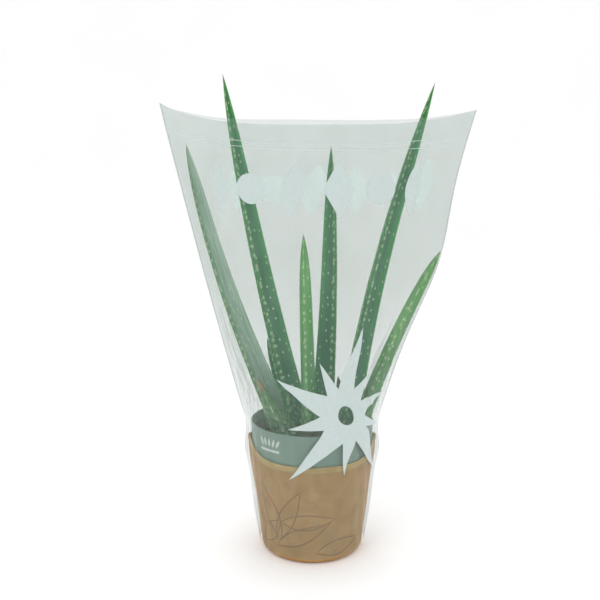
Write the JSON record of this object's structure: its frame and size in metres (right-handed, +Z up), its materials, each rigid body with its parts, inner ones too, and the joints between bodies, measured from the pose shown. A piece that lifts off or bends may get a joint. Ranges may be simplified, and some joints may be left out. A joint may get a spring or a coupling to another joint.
{
  "type": "potted aloe plant in a clear sleeve",
  "caption": "Young aloe with long spotted leaves in a grey grow pot, with a kraft paper pot cover and a flared clear film carrying sleeve.",
  "frame": {"origin": "centre of the flat underside of the pot cover, on the surface the pot stands on", "axes": "+Z up; the sleeve's front panel faces -Y and its welded side seams lie at -X and +X"},
  "size_m": [0.3001, 0.1278, 0.4638],
  "materials": {
    "clear_film": "gloss",
    "kraft_paper": "matte",
    "grey_plastic": "satin",
    "peat_soil": "matte",
    "aloe_leaf": "satin",
    "dry_leaf": "matte"
  },
  "bodies": {
    "root": {"film_front_panel": "clear_film", "film_back_panel": "clear_film", "kraft_cover": "kraft_paper", "grow_pot": "grey_plastic", "potting_soil": "peat_soil", "buried_stem": "dry_leaf", "leaf_outer_left": "aloe_leaf", "leaf_tall_left": "aloe_leaf", "leaf_front_short": "aloe_leaf", "leaf_centre": "aloe_leaf", "leaf_tall_right": "aloe_leaf", "leaf_outer_right": "aloe_leaf", "leaf_old_front": "aloe_leaf", "leaf_small_left": "aloe_leaf", "leaf_behind_left": "aloe_leaf", "leaf_dried": "dry_leaf"}
  },
  "joints": []
}
